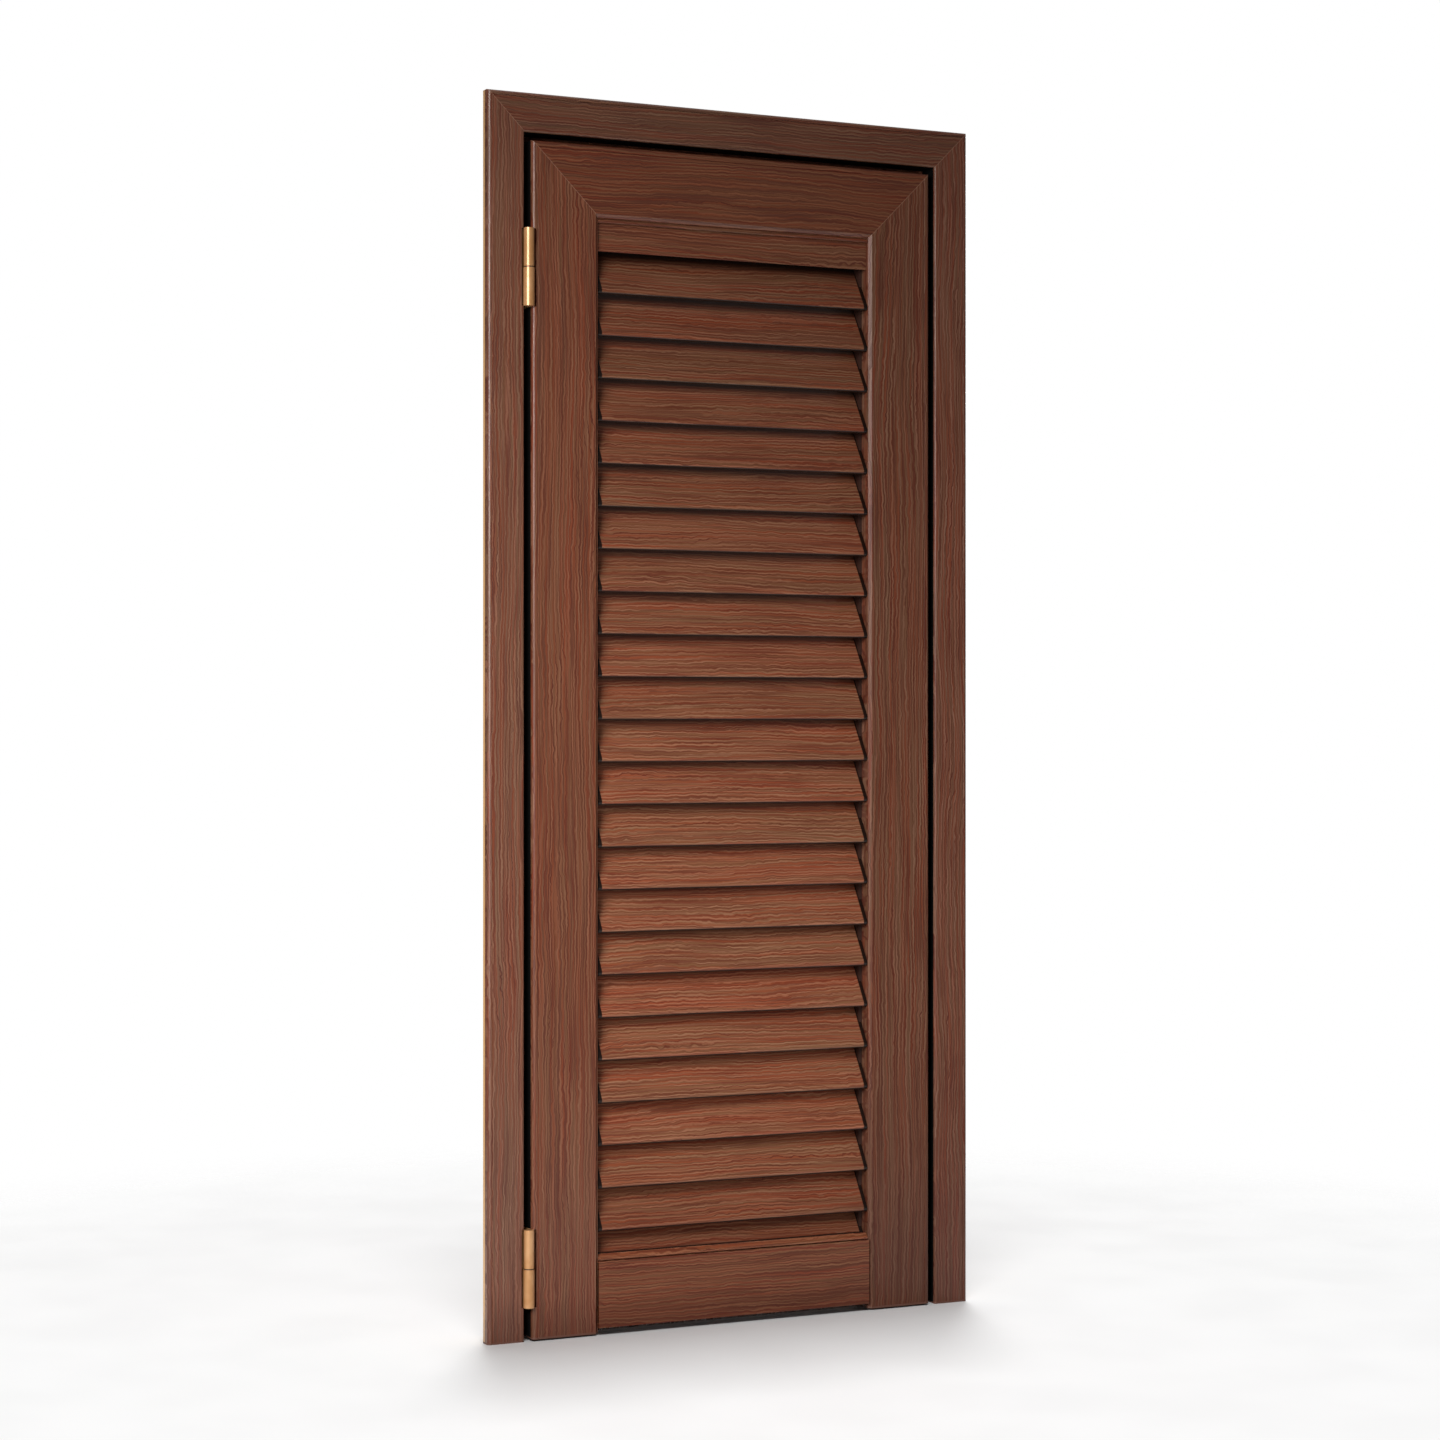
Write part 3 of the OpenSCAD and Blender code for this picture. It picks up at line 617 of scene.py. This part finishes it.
def add_brush():
    """The strip under the leaf: a rounded back with rows of bristles that lean a little, each its own way."""
    back_height = 4.5 * MM
    rows = 4
    row_spacing = 2.5 * MM
    first_row = 2.2 * MM
    tuft_spacing = 2.6 * MM
    end_margin = 3 * MM
    sunk = 0.6 * MM  # how far the bristles' feet go into the back
    low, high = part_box("bottom_brush")
    size = high - low
    middle = (low + high) / 2
    bm = bmesh.new()
    for vert in bmesh.ops.create_cube(bm, size=1.0)["verts"]:
        vert.co = Vector((
            middle[0] + vert.co[0] * size[0],
            middle[1] + vert.co[1] * size[1],
            high[2] - back_height / 2 + vert.co[2] * back_height,
        ))
    bmesh.ops.bevel(bm, geom=bm.edges[:], offset=1.1 * MM, segments=3, affect="EDGES", profile=0.5)
    hairs = random.Random(24)
    tufts = int((size[0] - 2 * end_margin) / tuft_spacing)
    for row in range(rows):
        y = low[1] + first_row + row_spacing * row
        for k in range(tufts):
            x = low[0] + end_margin + (k + 0.5 * (row % 2)) * tuft_spacing
            foot = Vector((x, y, high[2] - back_height + sunk))
            for _ in range(2):
                lean = Vector((hairs.uniform(-1, 1), hairs.uniform(-0.9, 0.9), 0)) * MM
                tip = foot + lean + Vector((0, 0, low[2] + hairs.uniform(0, 0.8) * MM - foot[2]))
                bristle(bm, foot + lean * 0.3, tip, 0.45 * MM)
    new_piece("brush_strip", bm, "leaf", ["bottom_brush"], brush_pile)


def ring_edges(bm, corners):
    """The edges that join these corners in a ring, made where they are missing."""
    edges = []
    for k, corner in enumerate(corners):
        pair = (corner, corners[(k + 1) % len(corners)])
        edges.append(bm.edges.get(pair) or bm.edges.new(pair))
    return edges


def cross_screw(bm, head_at, into, head_r, length):
    """A countersunk screw along X with a cross recess; into is +1 or -1, the way the point faces."""
    head_h, shank_r = head_r * 0.55, head_r * 0.45
    arm, half, recess = head_r * 0.62, head_r * 0.13, head_h * 0.6

    def at(depth, y, z):
        return bm.verts.new(head_at + Vector((into * depth, y, z)))

    def ring(radius, depth, count=40):
        corners = [math.tau * k / count for k in range(count)]
        return [at(depth, radius * math.cos(a), radius * math.sin(a)) for a in corners]

    def join_rings(a, b):
        for k in range(len(a)):
            bm.faces.new((a[k], a[(k + 1) % len(a)], b[(k + 1) % len(b)], b[k]))

    rings = [
        ring(head_r * 0.94, 0),
        ring(head_r, head_h * 0.1),
        ring(shank_r, head_h),
        ring(shank_r, length * 0.86),
        ring(shank_r * 0.35, length),
    ]
    for a, b in zip(rings, rings[1:]):
        join_rings(a, b)
    bm.faces.new(rings[-1])
    outline = [
        (arm, half), (half, half), (half, arm), (-half, arm), (-half, half), (-arm, half),
        (-arm, -half), (-half, -half), (-half, -arm), (half, -arm), (half, -half), (arm, -half),
    ]
    mouth = [at(0, y, z) for y, z in outline]
    bottom = [at(recess, y * 0.8, z * 0.8) for y, z in outline]
    join_rings(mouth, bottom)
    bm.faces.new(bottom)
    rim = ring_edges(bm, mouth) + ring_edges(bm, rings[0])
    bmesh.ops.triangle_fill(bm, edges=rim, use_beauty=True)


def loose_boxes(node):
    """The low and high corners of each loose part of a node, worked out from its mesh."""
    bm = bmesh.new()
    bm.from_mesh(nodes[node].data)
    bm.transform(nodes[node].matrix_world)
    bmesh.ops.remove_doubles(bm, verts=bm.verts, dist=1e-6)
    found, seen = [], set()
    for start in bm.verts:
        if start in seen:
            continue
        part, reached = set(), [start]
        while reached:
            vert = reached.pop()
            if vert in part:
                continue
            part.add(vert)
            reached.extend(edge.other_vert(vert) for edge in vert.link_edges)
        seen |= part
        lows = [min(v.co[k] for v in part) for k in range(3)]
        highs = [max(v.co[k] for v in part) for k in range(3)]
        found.append((Vector(lows), Vector(highs)))
    bm.free()
    return found


def add_hinge_screws(node, body, into):
    """Cross-recess screws in the hinge plates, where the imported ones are."""
    bm = bmesh.new()
    for low, high in loose_boxes(node):
        middle = (low + high) / 2
        face_x = low[0] if into > 0 else high[0]
        head_r = (high[2] - low[2]) / 2
        cross_screw(bm, Vector((face_x, middle[1], middle[2])), into, head_r, high[0] - low[0])
    new_piece(node.replace("hinge", "plate"), bm, body, [node], zinc_steel)


add_brush()
add_hinge_screws("frame_hinge_screws", "frame", -1)
add_hinge_screws("leaf_hinge_screws", "leaf", 1)


# ---------- floor, light and camera ----------

FLOOR_RADIUS = 2.4


def add_floor():
    """A round pale floor that fades out softly into the white room."""
    bm = bmesh.new()
    bmesh.ops.create_circle(bm, cap_ends=True, segments=128, radius=FLOOR_RADIUS)
    mesh = bpy.data.meshes.new("floor")
    bm.to_mesh(mesh)
    bm.free()
    floor = bpy.data.objects.new("floor", mesh)
    bpy.context.scene.collection.objects.link(floor)
    material, net, shader, spot = new_material(
        "pale_floor", (0.92, 0.92, 0.92, 1.0), Specular_IOR_Level=0.2
    )
    net.join(net.ramp(net.noise(spot, 4, 2), 0.3, 0.7, 0.42, 0.50), shader.inputs["Roughness"])
    distance = net.add("ShaderNodeVectorMath", operation="LENGTH")
    net.join(spot, distance.inputs[0])
    fade = net.ramp(distance.outputs["Value"], FLOOR_RADIUS * 0.55, FLOOR_RADIUS * 0.98, 1.0, 0.0)
    net.join(fade, shader.inputs["Alpha"])
    mesh.materials.append(material)
    return floor


def light_group(name, member, state):
    """What a lamp falls on: only this object (INCLUDE) or everything else (EXCLUDE)."""
    group = bpy.data.collections.new(name)
    group.objects.link(member)
    for link in group.collection_objects:
        link.light_linking.link_state = state
    return group


def add_sun(name, strength, spread, lean, towards, falls_on=None):
    """A soft far lamp that leans from straight overhead, so that its shadows fall along the towards angle."""
    lamp = bpy.data.lights.new(name, "SUN")
    lamp.energy = strength
    lamp.angle = math.radians(spread)
    sun = bpy.data.objects.new(name, lamp)
    sun.rotation_euler = (math.radians(lean), 0, towards)
    sun.light_linking.receiver_collection = falls_on
    bpy.context.scene.collection.objects.link(sun)


def add_panel(name, power, width, place_at, aim, spread, falls_on):
    """A square lamp panel that faces its aim and isn't seen by the camera."""
    lamp = bpy.data.lights.new(name, "AREA")
    lamp.energy = power
    lamp.shape = "SQUARE"
    lamp.size = width
    lamp.spread = math.radians(spread)
    panel = bpy.data.objects.new(name, lamp)
    panel.location = place_at
    panel.rotation_euler = (Vector(aim) - Vector(place_at)).to_track_quat("-Z", "Y").to_euler()
    panel.visible_camera = False
    panel.light_linking.receiver_collection = falls_on
    bpy.context.scene.collection.objects.link(panel)


def add_sky():
    """White where the camera sees it, and a dim even light on everything else."""
    world = bpy.data.worlds.new("studio")
    bpy.context.scene.world = world
    world.use_nodes = True
    net = Net(world.node_tree)
    background = world.node_tree.nodes["Background"]
    seen = net.add("ShaderNodeLightPath").outputs["Is Camera Ray"]
    net.join(net.ramp(seen, 0.0, 1.0, 0.12, 1.0, smooth=False), background.inputs["Strength"])
    background.inputs["Color"].default_value = (1, 1, 1, 1)


CAMERA_TURN = math.radians(25.8)
CAMERA_DISTANCE = 5.311
CAMERA_HEIGHT = 1.020
AIM_X = -0.0305
SENSOR_WIDTH = 36.0
FOCAL_LENGTH = 78.625


def add_camera():
    """A level camera in front of the frame, to the left of it."""
    lens = bpy.data.cameras.new("camera")
    lens.sensor_width = SENSOR_WIDTH
    lens.lens = FOCAL_LENGTH
    lens.clip_end = 200
    camera = bpy.data.objects.new("camera", lens)
    camera.location = (
        AIM_X - CAMERA_DISTANCE * math.sin(CAMERA_TURN),
        FACE_Y - CAMERA_DISTANCE * math.cos(CAMERA_TURN),
        CAMERA_HEIGHT,
    )
    camera.rotation_euler = (math.radians(90), 0, -CAMERA_TURN)
    bpy.context.scene.collection.objects.link(camera)
    bpy.context.scene.camera = camera


floor = add_floor()
floor_only = light_group("floor_only", floor, "INCLUDE")
all_but_floor = light_group("all_but_floor", floor, "EXCLUDE")
add_sky()
for number, lean in enumerate((3, 8.5, 14), start=1):
    add_sun(f"ceiling_row_{number}", 0.70, 6, lean, math.pi - CAMERA_TURN)
add_sun("floor_fill", 1.3, 20, 25, -CAMERA_TURN, floor_only)
add_panel("high_panel", 26, 1.4, (-2.5, -2.3, 2.1), (-0.15, 0, 0.66), 75, all_but_floor)
add_panel("low_panel", 5, 1.2, (-1.5, -1.9, 0.8), (-0.2, 0, 0.75), 110, all_but_floor)
add_panel("back_panel", 14, 1.6, (1.9, 3.0, 1.9), (0, 0, 0.9), 60, all_but_floor)
add_camera()

bpy.context.scene.view_settings.view_transform = "Standard"
bpy.context.view_layer.update()
